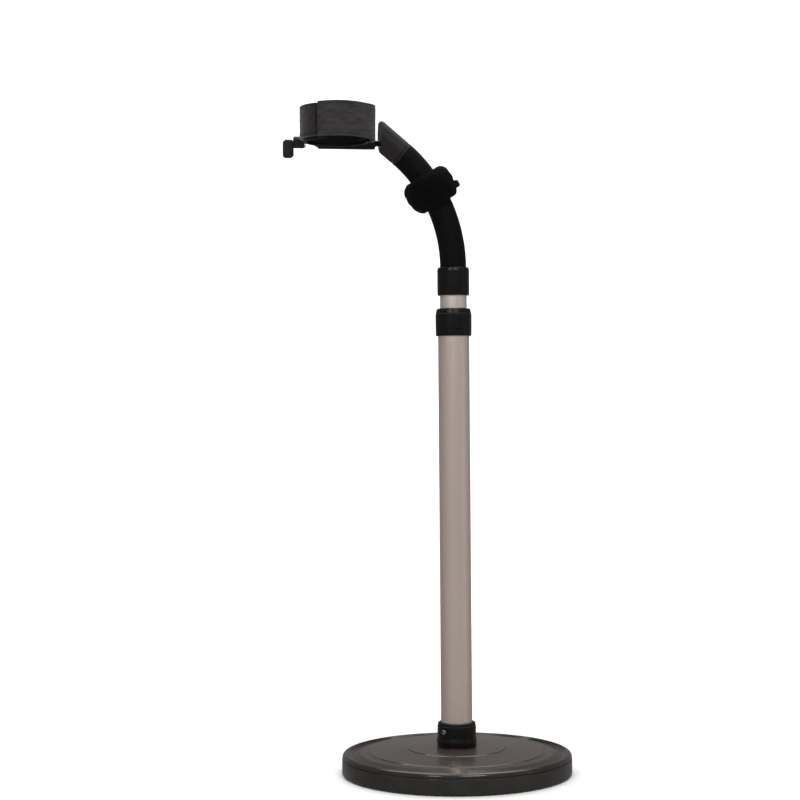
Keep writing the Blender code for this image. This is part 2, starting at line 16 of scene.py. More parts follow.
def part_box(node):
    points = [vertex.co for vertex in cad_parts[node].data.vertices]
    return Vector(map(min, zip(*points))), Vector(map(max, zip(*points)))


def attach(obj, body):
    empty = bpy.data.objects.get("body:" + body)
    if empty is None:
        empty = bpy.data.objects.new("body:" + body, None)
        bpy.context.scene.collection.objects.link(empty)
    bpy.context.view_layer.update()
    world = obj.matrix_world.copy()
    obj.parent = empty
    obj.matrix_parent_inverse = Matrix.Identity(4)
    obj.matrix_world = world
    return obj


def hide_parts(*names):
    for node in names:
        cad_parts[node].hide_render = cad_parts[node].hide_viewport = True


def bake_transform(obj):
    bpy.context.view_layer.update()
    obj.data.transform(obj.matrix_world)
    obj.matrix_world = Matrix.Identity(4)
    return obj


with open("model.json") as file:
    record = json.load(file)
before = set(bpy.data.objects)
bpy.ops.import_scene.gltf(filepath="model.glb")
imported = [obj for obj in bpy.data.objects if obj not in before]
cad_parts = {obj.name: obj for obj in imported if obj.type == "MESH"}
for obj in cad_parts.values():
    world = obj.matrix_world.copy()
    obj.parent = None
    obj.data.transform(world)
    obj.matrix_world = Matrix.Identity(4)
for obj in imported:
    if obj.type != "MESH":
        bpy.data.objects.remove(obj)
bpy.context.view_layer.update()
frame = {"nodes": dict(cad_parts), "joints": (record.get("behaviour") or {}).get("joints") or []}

JOINTS = {joint["name"]: joint for joint in frame["joints"]}
FULL_TURN = 2 * math.pi

# Camera: level, left of the pole and a little above the stand's middle
CAMERA_AT = (-0.3431, -1.6661, 0.3350)
CAMERA_TURN = math.radians(-10)
CAMERA_ROLL = math.radians(-0.45)
CAMERA_LENS = 85.3

# Pole: its holes through the cover, the collars and the ferrule
TUBE_HOLE = 0.0144
LOCK_BORE = 0.0153
LOCK_THROAT = 0.0124
FERRULE_BORE = 0.0123

# Flexible arm: an arc that starts upright at the ferrule's rim and leans towards -X
ARM_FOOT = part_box("ferrule")[1].z
ARM_CURVE = 0.1330
ARM_RADIUS = 0.01175
SLEEVE_WALL = 0.0015
HINGES = [f"{kind}_{n}" for n in range(1, 5) for kind in ("bend", "sway")]
ELBOW_LEAN = math.radians(50)
SLEEVE_PAST_HINGE = 0.0034

# Cord tie: a ball of lapped tape, its mouths, its place past its link's hinge, and its loose end
TIE_LINK = 5
TIE_RADIUS = 0.0227
TIE_LIP = 0.0158
TIE_HALF = 0.0150
TIE_SHIFT = 0.0062
TAPE = 0.0009
TAB_START = math.radians(-62)
TAB_END = math.radians(-14)
TAB_HEIGHT = -0.0068

# Cross bolt: its shank, the hole that clears it, its thread and the insert that holds it
BOLT_RADIUS = 0.0028
BOLT_HOLE = 0.0031
THREAD_PITCH = 0.0008
THREAD_DEPTH = 0.00042
THREAD_START = -0.0718
THREAD_CUT_FROM = -0.0715
INSERT_RADIUS = 0.0042

# Cradle: arcs in degrees round its axis, radii from it
SHELL_ARC = (-15, 245)
SHELL_INNER = 0.0262
SHELL_OUTER = 0.0286
LINER_ARC = (-13, 243)
LINER_CHANNELS = (38, 90, 142, 192)
TAPE_ARC = (-208, -117)
STRAP_ARC = (-128, 28)
STRAP_REACH = 0.0320
STRAP_INNER = 0.0308
STRAP_OUTER = 0.0324
BULGE = 0.0016
BULGE_AT = -16
BULGE_WIDTH = 22
TAPE_STITCH_RADIUS = 0.03155
EDGE_STITCH_RADIUS = 0.03225
HEM_STITCH_RADIUS = 0.0328
CRADLE = Vector((JOINTS["tilt"]["pos_m"][0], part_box("strap")[0].y + STRAP_REACH, 0))
PIVOT_Z = JOINTS["tilt"]["pos_m"][2]


# --- Meshes ---


def soften(corners, bend=5):
    """A closed outline whose corners are rounded where they carry a radius as their third number."""
    outline = []
    for i, corner in enumerate(corners):
        here = Vector(corner[:2])
        if len(corner) < 3:
            outline.append(tuple(here))
            continue
        before = (Vector(corners[i - 1][:2]) - here).normalized()
        after = (Vector(corners[(i + 1) % len(corners)][:2]) - here).normalized()
        half = before.angle(after) / 2
        middle = here + (before + after).normalized() * (corner[2] / math.sin(half))
        start = here + before * (corner[2] / math.tan(half)) - middle
        end = here + after * (corner[2] / math.tan(half)) - middle
        turn = start.angle(end)
        for k in range(bend + 1):
            share = k / bend
            mixed = start * math.sin((1 - share) * turn) + end * math.sin(share * turn)
            outline.append(tuple(middle + mixed / math.sin(turn)))
    return outline


def refine(outline, step):
    """The same closed outline with its long edges split to about this step."""
    fine = []
    for i, here in enumerate(outline):
        after = outline[(i + 1) % len(outline)]
        parts = max(1, round(math.dist(here, after) / step))
        for k in range(parts):
            share = k / parts
            fine.append((here[0] + (after[0] - here[0]) * share, here[1] + (after[1] - here[1]) * share))
    return fine


def slab(inner, outer, bottom, top, edge, step=None):
    """The outline of a ring's wall or of a band, with rounded edges."""
    corners = [(inner, bottom, edge), (outer, bottom, edge), (outer, top, edge), (inner, top, edge)]
    outline = soften(corners)
    return refine(outline, step) if step else outline


def rod(radius, bottom, top, edge):
    """The outline of a solid round bar with rounded edges."""
    side = soften([(radius, bottom, edge), (radius, top, edge), (0, top)])[:-1]
    return [(0, bottom)] + side + [(0, top)]


def turned(name, outline, frame_at=Matrix(), steps=128, arc=None, warp=None, sharp=32):
    """A closed outline of (radius, height) points turned about Z, all the way or over an arc in degrees.
    warp changes the turned points, an array of x, y, z rows, before they are placed."""
    start, end = [math.radians(a) for a in (arc or (0, 360))]
    angles = np.linspace(start, end, steps + 1)
    if not arc:
        angles = angles[:-1]
    outline = np.array(outline, float)
    radius, height = outline[:, 0], outline[:, 1]
    x = np.outer(np.cos(angles), radius)
    y = np.outer(np.sin(angles), radius)
    grid = np.stack([x, y, np.tile(height, (len(angles), 1))], axis=2)
    points = grid.reshape(-1, 3)
    if warp:
        points = warp(points)
    rows, columns = grid.shape[:2]
    index = np.arange(rows * columns).reshape(rows, columns)
    below = np.roll(index, -1, 0)
    faces = np.stack([index, np.roll(index, -1, 1), np.roll(below, -1, 1), below], axis=2)
    if arc:
        faces = faces[:-1]
    faces = faces.reshape(-1, 4).tolist()
    if arc:
        faces += [index[0].tolist(), index[-1][::-1].tolist()]
    lengths = np.linalg.norm(np.roll(outline, -1, 0) - outline, axis=1)
    along = np.concatenate([[0], np.cumsum(lengths)])
    across = np.linspace(start, end, rows + (0 if arc else 1)) * radius.max()
    corners = uv_corners(across, along)
    if arc:
        corners += [(0.0, along[j]) for j in range(columns)] * 2
    return mesh_piece(name, points, faces, frame_at, corners, sharp)


def uv_corners(across, along):
    """Texture places in metres, one for each corner of each face of the grid."""
    corners = []
    for near, far in zip(across, across[1:]):
        for low, high in zip(along, along[1:]):
            corners += [(near, low), (near, high), (far, high), (far, low)]
    return corners


def add_object(name, data):
    added = bpy.data.objects.new(name, data)
    bpy.context.scene.collection.objects.link(added)
    return added


def round_axis(points):
    """Each point's radius and angle round Z."""
    x, y = points[:, 0], points[:, 1]
    return np.hypot(x, y), np.arctan2(y, x)


def from_axis(radius, angle, height):
    """Points from their radius, angle and height round Z."""
    return np.stack([np.cos(angle) * radius, np.sin(angle) * radius, height], axis=1)


def widened(points, factor):
    """The points moved out from Z, each by its own factor."""
    return points * np.stack([factor, factor, np.ones(len(points))], axis=1)


def mesh_piece(name, points, faces, frame_at=Matrix(), corners=None, sharp=32):
    mesh = bpy.data.meshes.new(name)
    mesh.from_pydata([tuple(p) for p in points], [], faces)
    if corners is not None:
        layer = mesh.uv_layers.new(name="weave")
        layer.data.foreach_set("uv", np.array(corners, np.float32).ravel())
    shape = bmesh.new()
    shape.from_mesh(mesh)
    bmesh.ops.remove_doubles(shape, verts=shape.verts, dist=1e-7)
    bmesh.ops.dissolve_degenerate(shape, edges=shape.edges, dist=1e-8)
    bmesh.ops.recalc_face_normals(shape, faces=shape.faces)
    shape.transform(frame_at)
    shape.to_mesh(mesh)
    shape.free()
    smooth(mesh, sharp)
    return add_object(name, mesh)


def smooth(mesh, sharp=32):
    mesh.shade_smooth()
    mesh.set_sharp_from_angle(angle=math.radians(sharp))


def settle(piece):
    """Gives a piece the mesh that its modifiers make, and drops the modifiers."""
    graph = bpy.context.evaluated_depsgraph_get()
    made = bpy.data.meshes.new_from_object(piece.evaluated_get(graph), depsgraph=graph)
    piece.modifiers.clear()
    piece.data = made
    made.name = piece.name


def carve(piece, tool, operation="DIFFERENCE"):
    """Cuts a tool out of a piece or joins it on, and uses the tool up."""
    modifier = piece.modifiers.new("carve", "BOOLEAN")
    modifier.operation = operation
    modifier.solver = "EXACT"
    modifier.object = tool
    settle(piece)
    bpy.data.objects.remove(tool)


def mould(piece, cell, rounds):
    """Melts joined shapes into one moulding with filleted edges."""
    remesh = piece.modifiers.new("cells", "REMESH")
    remesh.mode = "VOXEL"
    remesh.voxel_size = cell
    relax = piece.modifiers.new("relax", "SMOOTH")
    relax.factor = 0.5
    relax.iterations = rounds
    settle(piece)


def block(name, low, high, edge=0.0):
    shape = bmesh.new()
    middle = [(a + b) / 2 for a, b in zip(low, high)]
    size = [b - a for a, b in zip(low, high)]
    bmesh.ops.create_cube(shape, size=1.0, matrix=Matrix.LocRotScale(Vector(middle), None, Vector(size)))
    if edge:
        bmesh.ops.bevel(shape, geom=shape.edges[:], offset=edge, segments=6, affect="EDGES")
    mesh = bpy.data.meshes.new(name)
    shape.to_mesh(mesh)
    shape.free()
    smooth(mesh)
    return add_object(name, mesh)


def along_x(height):
    """A frame at this height whose Z runs along X."""
    return Matrix.Translation((0, 0, height)) @ Matrix.Rotation(math.radians(90), 4, "Y")


def bore(piece, radius, start, end, steps):
    """Drills a piece along the cross bolt's line."""
    carve(piece, turned("bore", rod(radius, start, end, 0.0001), along_x(PIVOT_Z), steps))
    smooth(piece.data, 38)


def facing_out(node, centre):
    """A frame on an upright centre line, whose Z points outward along the axis of a small CAD node."""
    low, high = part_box(node)
    middle = (low + high) / 2
    turn = Matrix.Rotation(math.atan2(middle.y - centre.y, middle.x - centre.x), 4, "Z")
    return Matrix.Translation(centre) @ turn @ along_x(middle.z)


def give_look(piece, look):
    piece.data.materials.clear()
    piece.data.materials.append(LOOKS[look])


def dress(piece, look, body=None, replaced=()):
    """A piece's look, the body that it rides on and the nodes that it stands for."""
    give_look(piece, look)
    if body:
        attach(piece, body)
    if replaced:
        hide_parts(*replaced)


def bumps(points, scale, seed):
    """Smooth unevenness from -1 to 1 at each point, made of sines of unrelated lengths."""
    random = np.random.default_rng(seed)
    total = np.zeros(len(points))
    for _ in range(7):
        direction = random.normal(size=3)
        direction *= scale * random.uniform(0.6, 1.5) / np.linalg.norm(direction)
        total += np.sin(points @ direction + random.uniform(0, FULL_TURN))
    return total / 4


def ridge(distance, width):
    """A soft ridge of height 1 that falls away over about this width."""
    return np.exp(-((distance / width) ** 2))


def eased(value):
    value = np.clip(value, 0, 1)
    return value * value * (3 - 2 * value)


# --- Materials ---


class Look:
    """A Principled material whose nodes are added one on another."""

    def __init__(self, name, colour, roughness, **constants):
        self.material = bpy.data.materials.new(name)
        self.material.use_nodes = True
        self.tree = self.material.node_tree
        self.shader = self.tree.nodes["Principled BSDF"]
        self.colour = colour
        self.shader.inputs["Base Color"].default_value = (*colour, 1)
        self.shader.inputs["Roughness"].default_value = roughness
        for name, value in constants.items():
            self.shader.inputs[name.replace("_", " ")].default_value = value
        places = self.tree.nodes.new("ShaderNodeTexCoord")
        self.solid_place = places.outputs["Object"]
        self.woven_place = places.outputs["UV"]
        self.normal = None

    def node(self, kind, inputs, **settings):
        made = self.tree.nodes.new("ShaderNode" + kind)
        for name, value in settings.items():
            setattr(made, name, value)
        for name, value in inputs.items():
            if isinstance(value, bpy.types.NodeSocket):
                self.tree.links.new(value, made.inputs[name])
            elif value is not None:
                made.inputs[name].default_value = value
        return made

    def stretched(self, scale, woven=False, aslant=0):
        """The solid or woven place, stretched after a turn of this many degrees about Z."""
        place = self.woven_place if woven else self.solid_place
        inputs = {"Vector": place, "Rotation": (0, 0, math.radians(aslant)), "Scale": scale}
        return self.node("Mapping", inputs).outputs[0]

    def noise(self, scale, detail=2.0, rough=0.5, place=None):
        place = place or self.solid_place
        inputs = {"Vector": place, "Scale": scale, "Detail": detail, "Roughness": rough}
        return self.node("TexNoise", inputs).outputs[0]

    def cells(self, scale, feature="F1"):
        inputs = {"Vector": self.solid_place, "Scale": scale}
        return self.node("TexVoronoi", inputs, feature=feature).outputs[0]

    def waves(self, scale, direction):
        inputs = {"Vector": self.woven_place, "Scale": scale, "Distortion": 0.4, "Detail Scale": 3.0}
        return self.node("TexWave", inputs, wave_type="BANDS", bands_direction=direction).outputs[1]

    def sum(self, first, second, operation="ADD"):
        return self.node("Math", {0: first, 1: second}, operation=operation).outputs[0]

    def spread(self, factor, low, high, from_low=0.3, from_high=0.7):
        inputs = {0: factor, "From Min": from_low, "From Max": from_high, "To Min": low, "To Max": high}
        return self.node("MapRange", inputs, clamp=True).outputs[0]

    def shades(self, factor, low, high, from_low=0.3, from_high=0.7):
        """The material's own colour, from low to high times its brightness."""
        made = self.node("ValToRGB", {0: factor})
        dark, light = made.color_ramp.elements
        dark.position, dark.color = from_low, (*(c * low for c in self.colour), 1)
        light.position, light.color = from_high, (*(c * high for c in self.colour), 1)
        return made.outputs[0]

    def blend(self, factor, first, second):
        return self.node("Mix", {0: factor, 6: first, 7: second}, data_type="RGBA").outputs[2]

    def paint(self, socket):
        self.tree.links.new(socket, self.shader.inputs["Base Color"])

    def gloss(self, socket):
        self.tree.links.new(socket, self.shader.inputs["Roughness"])

    def bump(self, height, distance, strength=1.0):
        inputs = {"Height": height, "Distance": distance, "Strength": strength, "Normal": self.normal}
        self.normal = self.node("Bump", inputs).outputs[0]
        self.tree.links.new(self.normal, self.shader.inputs["Normal"])

    def upward(self, from_slope, to_slope):
        """High on faces that look up."""
        normal = self.node("NewGeometry", {}).outputs["Normal"]
        slope = self.node("SeparateXYZ", {0: normal}).outputs["Z"]
        return self.spread(slope, 0.0, 1.0, from_slope, to_slope)

    def edges(self):
        """High on convex edges, where handling wears a surface."""
        pointed = self.node("NewGeometry", {}).outputs["Pointiness"]
        return self.spread(pointed, 0.0, 1.0, 0.52, 0.60)


EDGE_WEAR = 2.2


def plastic(name, colour, roughness, grain, specular, dust_and_sheen=None, coat=0.0):
    """Satin moulded plastic: spark-eroded grain, cloudy gloss and edges rubbed paler. Where it has a
    dust and sheen colour, fine dust and painted sheen lie on the level faces, and the shoulders below
    them are glossier."""
    constants = {"Specular_IOR_Level": specular, "Coat_Weight": coat, "Coat_Roughness": 0.14}
    look = Look(name, colour, roughness, **constants)
    cloud = look.noise(55, 4)
    base = look.shades(cloud, 0.8, 1.3)
    if dust_and_sheen:
        # Dust and painted sheen: a lighter brown-grey on the level faces that stands in for reflected
        # light there as well as for dust
        patches = look.spread(look.noise(28, 5, 0.6), 0.8, 1.0)
        dust_and_sheen_mask = look.sum(look.upward(0.984, 0.999), patches, "MULTIPLY")
        base = look.blend(dust_and_sheen_mask, base, (*dust_and_sheen, 1))
    rubbed = tuple(c * EDGE_WEAR for c in colour)
    worn = look.sum(look.edges(), look.spread(look.noise(420, 3), 0.0, 0.8, 0.42, 0.62), "MULTIPLY")
    look.paint(look.blend(worn, base, (*rubbed, 1)))
    matt = look.spread(cloud, roughness - 0.05, roughness + 0.07)
    if dust_and_sheen:
        level = look.upward(0.90, 0.985)
        sloping = look.sum(1.0, level, "SUBTRACT")
        shoulder = look.sum(look.upward(0.15, 0.45), sloping, "MULTIPLY")
        matt = look.sum(matt, look.sum(shoulder, 0.18, "MULTIPLY"), "SUBTRACT")
    look.gloss(look.sum(matt, look.sum(worn, 0.12, "MULTIPLY"), "SUBTRACT"))
    look.bump(look.noise(grain, 2, 0.6), 0.00006, 0.5)
    look.bump(look.noise(300, 2), 0.00008, 0.25)
    return look.material


def anodised(name, colour, roughness):
    """Drawn and anodised aluminium: fine lines along the tube, slight tone bands and a few scuffs."""
    look = Look(name, colour, roughness, Metallic=0.92, Anisotropic=0.35)
    lines = look.noise(900, 3, 0.7, look.stretched((1, 1, 0.012)))
    tone = look.noise(9, 3, 0.5, look.stretched((1, 1, 0.35)))
    scuffs = look.noise(260, 4, 0.6, look.stretched((1, 1, 0.25)))
    scuffed = look.spread(scuffs, 0.0, 0.10, 0.60, 0.72)
    look.paint(look.blend(scuffed, look.shades(tone, 0.95, 1.05), (0.5,) * 4))
    rough = look.spread(lines, roughness - 0.05, roughness + 0.06, 0.35, 0.65)
    look.gloss(look.sum(rough, look.spread(scuffs, 0.0, 0.12, 0.58, 0.75)))
    look.bump(lines, 0.00002, 0.35)
    return look.material


def steel(name, colour, roughness):
    """Zinc-plated steel with fine turning marks and a clouded plate."""
    look = Look(name, colour, roughness, Metallic=1.0)
    cloud = look.noise(420, 4, 0.6)
    look.paint(look.shades(cloud, 0.75, 1.2))
    look.gloss(look.spread(cloud, roughness - 0.08, roughness + 0.14))
    look.bump(look.noise(1500, 3, 0.7, look.stretched((1, 1, 4))), 0.00003, 0.4)
    return look.material


def rubber(name, colour, roughness, specular):
    """Black rubber sleeve: faint bloom, tiny pores, and very fine lengthwise extrusion marks."""
    look = Look(name, colour, roughness, Specular_IOR_Level=specular)
    bloom = look.noise(38, 5, 0.6)
    drawn = look.noise(420, 3, 0.6, look.stretched((1, 0.06, 1), woven=True))
    look.paint(look.shades(bloom, 0.75, 1.45))
    look.gloss(look.spread(bloom, roughness - 0.07, roughness + 0.08))
    look.bump(drawn, 0.00005, 0.35)
    look.bump(look.spread(look.cells(1500), 0.0, 1.0, 0.0, 0.35), 0.00003, 0.35)
    return look.material


def webbing(name, colour, roughness):
    """Plain-woven nylon webbing: ribs across, yarns along, and a soft fibre sheen."""
    constants = {"Specular_IOR_Level": 0.25, "Sheen_Weight": 0.12, "Sheen_Roughness": 0.45}
    look = Look(name, colour, roughness, **constants)
    weft = look.waves(560, "Y")
    warp = look.waves(480, "X")
    weave = look.sum(look.sum(weft, 0.62, "MULTIPLY"), look.sum(warp, 0.38, "MULTIPLY"))
    fibre = look.noise(1400, 3, 0.7, look.stretched((1, 0.25, 1), woven=True))
    tone = look.noise(70, 4, 0.6)
    yarn = look.sum(look.sum(weave, 0.45, "MULTIPLY"), look.sum(tone, 0.25, "MULTIPLY"))
    # Painted crease light and shade: diagonal streaks lighten and darken the colour where the strap's
    # creases catch light and shade, added to the yarn's own tone
    painted_crease_shade = look.noise(250, 3, 0.6, look.stretched((0.28, 1, 1), woven=True, aslant=24))
    rubbed = look.sum(yarn, look.sum(painted_crease_shade, 0.55, "MULTIPLY"))
    look.paint(look.shades(rubbed, 0.28, 2.1, 0.44, 0.80))
    look.gloss(look.spread(tone, roughness - 0.08, roughness + 0.08))
    look.bump(weave, 0.00010, 0.6)
    look.bump(fibre, 0.00006, 0.5)
    return look.material


def loop_pile(name, colour, roughness, sheen=0.015):
    """Brushed loops of hook-and-loop tape: a dense, matted pile that scatters light at its edges."""
    constants = {"Specular_IOR_Level": 0.07, "Sheen_Weight": sheen, "Sheen_Roughness": 0.5}
    look = Look(name, colour, roughness, **constants)
    loops = look.cells(1500, feature="SMOOTH_F1")
    mat = look.noise(420, 5, 0.7)
    look.paint(look.shades(look.sum(loops, mat, "MULTIPLY"), 0.5, 1.9, 0.08, 0.35))
    look.gloss(look.spread(mat, roughness - 0.06, roughness + 0.06))
    look.bump(mat, 0.00035, 0.6)
    look.bump(loops, 0.00025, 0.7)
    return look.material


def foam(name, colour, roughness):
    """Closed-cell foam with a skin of small open pores."""
    look = Look(name, colour, roughness, Specular_IOR_Level=0.08, Sheen_Weight=0.02)
    pores = look.cells(1300)
    look.paint(look.shades(pores, 0.5, 1.3, 0.1, 0.45))
    look.gloss(look.spread(look.noise(200, 3), roughness - 0.06, roughness + 0.04))
    look.bump(look.spread(pores, 0.0, 1.0, 0.05, 0.5), 0.00025, 0.8)
    return look.material


def cast_iron(name, colour, roughness):
    """Sand-cast iron with a thin dip of paint."""
    look = Look(name, colour, roughness, Metallic=0.5)
    sand = look.noise(700, 5, 0.7)
    look.paint(look.shades(sand, 0.6, 1.5))
    look.gloss(look.spread(sand, roughness - 0.12, roughness + 0.1))
    look.bump(sand, 0.0003, 0.8)
    return look.material


BASE_COLOUR = (0.0140, 0.0120, 0.0112)
# Dust and painted sheen: the brown-grey that the base's level top shows from reflected light, together
# with its dust
DUST_AND_SHEEN_COLOUR = (0.064, 0.048, 0.042)

LOOKS = {
    "base": plastic("satin_black_base", BASE_COLOUR, 0.34, 1900, 0.26, DUST_AND_SHEEN_COLOUR, 0.6),
    "black_plastic": plastic("satin_black_fitting", (0.0015, 0.0013, 0.0013), 0.33, 2600, 0.28),
    "grey_plastic": plastic("charcoal_fitting", (0.0145, 0.0130, 0.0124), 0.40, 2600, 0.24),
    "cast_iron": cast_iron("painted_iron", (0.06, 0.06, 0.06), 0.68),
    "pad_rubber": rubber("pad_rubber", (0.02, 0.02, 0.02), 0.85, 0.25),
    "anodised_tube": anodised("champagne_aluminium", (0.88, 0.755, 0.68), 0.36),
    "inner_tube": anodised("pale_aluminium", (0.90, 0.82, 0.76), 0.42),
    "steel": steel("zinc_plated_steel", (0.38, 0.38, 0.39), 0.32),
    "dark_steel": steel("blackened_steel", (0.05, 0.05, 0.052), 0.38),
    "arm_sleeve": rubber("sleeve_rubber", (0.0030, 0.0024, 0.0024), 0.50, 0.09),
    # Near-black foam, darkened further as painted shade: the ring's inside is coloured as dark as the
    # shadow of a held dryer would make it
    "foam": foam("liner_foam", (0.0035, 0.0035, 0.0038), 0.92),
    "webbing": webbing("grey_black_webbing", (0.027, 0.0240, 0.0248), 0.70),
    "thread": webbing("black_thread", (0.020, 0.019, 0.019), 0.60),
    "hook_and_loop": loop_pile("loop_pile", (0.0020, 0.0015, 0.0018), 0.92),
    "loop_tape": loop_pile("brushed_tape", (0.0120, 0.0100, 0.0105), 0.88, 0.22),
}


# --- Base ---


def build_base():
    """The base cover with its two ring steps, the groove and bead at its rim, the pad and the collar."""
    low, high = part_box("base_cover")
    rim, bottom, top = high.x, low.z, high.z
    bead, groove, foot = rim - 0.0003, rim - 0.0010, rim - 0.0025
    cover = [
        (TUBE_HOLE, top, 0.0004),
        (0.0433, top - 0.00110, 0.0005),
        (0.0440, top - 0.00170, 0.0003),
        (0.0783, top - 0.00370, 0.0005),
        (0.0790, top - 0.00425, 0.0003),
        (0.0870, top - 0.00505, 0.0120),
        (0.0950, top - 0.00740, 0.0012),
        (0.0964, top - 0.00740, 0.0008),
        (0.0984, top - 0.00500, 0.0010),
        (bead, top - 0.00540, 0.0035),
        (bead, top - 0.00900, 0.0002),
        (groove, top - 0.00930, 0.0002),
        (groove, top - 0.00970, 0.0002),
        (rim, top - 0.01000, 0.0003),
        (rim, bottom, 0.0008),
        (foot, bottom, 0.0005),
        (foot, 0.0135, 0.0010),
        (rim - 0.0060, 0.0158, 0.0010),
        (TUBE_HOLE, top - 0.0026),
    ]
    moulding = turned("base_cover_moulding", soften(cover), steps=256)
    dress(moulding, "base", "stand", ["base_cover"])
    build_pad()
    build_foot_collar()


def build_pad():
    """The foot pad, with eight shallow grooves in its underside."""
    low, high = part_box("base_pad")
    floor, depth = low.z, 0.0006
    outline = [(0, floor)]
    for groove in range(8):
        ring = 0.016 + 0.010 * groove
        outline += [(ring, floor), (ring + 0.0006, depth)]
        outline += [(ring + 0.0016, depth), (ring + 0.0022, floor)]
    outline += rod(high.x, floor, high.z, 0.0005)[1:]
    pad = turned("base_pad_rubber", outline, steps=192)
    dress(pad, "pad_rubber", "stand", ["base_pad"])


def build_foot_collar():
    """The collar at the pole's foot, with the set screw sunk in its side."""
    low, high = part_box("base_collar")
    flange = high.x
    upper = flange - 0.0009
    outline = [
        (TUBE_HOLE, low.z),
        (upper + 0.0003, low.z, 0.0002),
        (upper + 0.0003, 0.0283, 0.0002),
        (flange, 0.0287, 0.0005),
        (flange - 0.0007, 0.0321, 0.0008),
        (upper, 0.0327, 0.0002),
        (upper, high.z - 0.0030, 0.0003),
        (upper - 0.0004, high.z - 0.0027, 0.0002),
        (upper - 0.0004, high.z, 0.0011),
        (TUBE_HOLE + 0.0003, high.z, 0.0003),
    ]
    collar = turned("foot_collar", soften(outline), steps=160)
    outward = facing_out("base_set_screw", Vector())
    sink = soften([(0, 0.0130), (0.0027, 0.0130), (0.0027, 0.0166), (0.0033, 0.0185), (0, 0.0185)])
    carve(collar, turned("screw_sink", sink, outward, 48))
    smooth(collar.data)
    dress(collar, "black_plastic", "stand", ["base_collar"])
    head = soften([(0, 0.0143), (0.0024, 0.0143), (0.0024, 0.0176, 0.0004), (0, 0.0176)])
    screw = turned("foot_set_screw", head, outward, 48)
    socket = [(0, 0.0160), (0.00125, 0.0160), (0.00125, 0.0190), (0, 0.0190)]
    carve(screw, turned("screw_socket", socket, outward, 6))
    smooth(screw.data)
    dress(screw, "steel", "stand", ["base_set_screw"])


# --- Pole ---


def build_tubes():
    tubes = (
        ("outer_tube", "stand", 0.0140, 0.0128, "anodised_tube"),
        ("inner_tube", "mast", 0.0120, 0.0110, "inner_tube"),
    )
    for node, body, radius, bore, look in tubes:
        low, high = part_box(node)
        outline = slab(bore, radius, low.z, high.z, 0.0003, 0.020)
        dress(turned(node + "_drawn", outline), look, body, [node])


def build_lock_collar():
    """The twist collar, whose inner cone squeezes the collet."""
    low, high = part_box("lock_collar")
    radius = high.x
    cone_foot, cone_top = 0.4093, 0.4140
    outline = [
        (LOCK_BORE, low.z, 0.0002),
        (radius - 0.0002, low.z, 0.0007),
        (radius, 0.4000, 0.0020),
        (radius, high.z - 0.0050, 0.0002),
        (radius - 0.0003, high.z - 0.0047, 0.0002),
        (radius - 0.0010, high.z - 0.0006, 0.0008),
        (radius - 0.0026, high.z, 0.0004),
        (LOCK_THROAT, high.z, 0.0003),
        (LOCK_THROAT, cone_top),
        (0.0137, cone_top),
        (0.0145, cone_foot),
        (LOCK_BORE, cone_foot),
    ]
    grip = turned("lock_collar_grip", soften(outline))
    dress(grip, "black_plastic", "lock", ["lock_collar"])


def build_ferrule():
    """The ferrule: a cup for the tube below and a cup for the arm above, with a hole between them."""
    low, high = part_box("ferrule")
    radius = high.x
    arm_bore, hole = 0.01215, 0.0045
    web_foot, web_top = 0.4374, 0.4410
    outline = [
        (FERRULE_BORE, low.z, 0.0002),
        (radius - 0.0002, low.z, 0.0009),
        (radius - 0.0002, high.z - 0.0040, 0.0003),
        (radius, high.z - 0.0036, 0.0003),
        (radius - 0.0007, high.z - 0.0005, 0.0006),
        (radius - 0.0022, high.z, 0.0004),
        (arm_bore, high.z, 0.0004),
        (arm_bore, web_top),
        (hole, web_top),
        (hole, web_foot),
        (FERRULE_BORE, web_foot),
    ]
    ferrule = turned("arm_ferrule", soften(outline))
    dress(ferrule, "black_plastic", "mast", ["ferrule"])


# --- Flexible arm ---


def hinge_distance(name):
    """How far along the arm's middle line a hinge stands."""
    rise = JOINTS[name]["pos_m"][2] - ARM_FOOT
    return ARM_CURVE * math.asin(rise / ARM_CURVE)


LAST_HINGE = hinge_distance(HINGES[-1])


def arm_lean(distance):
    """The arm's lean at each distance: none in the ferrule, then the arc's, then the elbow's."""
    curved = np.clip(distance, 0, LAST_HINGE) / ARM_CURVE
    into_elbow = eased((distance - LAST_HINGE + 0.002) / 0.004)
    return curved + (ELBOW_LEAN - curved) * into_elbow


def arm_middle(distance):
    """The arm's middle line at each distance, as x and z."""
    lean = np.clip(distance, 0, LAST_HINGE) / ARM_CURVE
    x = -ARM_CURVE * (1 - np.cos(lean))
    z = ARM_FOOT + ARM_CURVE * np.sin(lean)
    before = np.minimum(distance, 0)
    beyond = np.maximum(distance - LAST_HINGE, 0)
    return x - math.sin(ELBOW_LEAN) * beyond, z + before + math.cos(ELBOW_LEAN) * beyond


def on_arm(points):
    """Carries points from a straight axis, with z as the distance along it, onto the arm."""
    x, z = arm_middle(points[:, 2])
    lean = arm_lean(points[:, 2])
    out = points[:, 0]
    return np.stack([x + out * np.cos(lean), points[:, 1], z + out * np.sin(lean)], axis=1)


def sleeve_ripple(points):
    """The core's winding shows faintly through the sleeve as a shallow coil."""
    radius, angle = round_axis(points)
    coil = 0.00004 * np.cos(FULL_TURN * points[:, 2] / 0.0036 - angle)
    outer = radius > ARM_RADIUS - 0.0002
    grown = np.where(outer & (points[:, 2] > 0.0005), (radius + coil) / radius, 1.0)
    return on_arm(widened(points, grown))


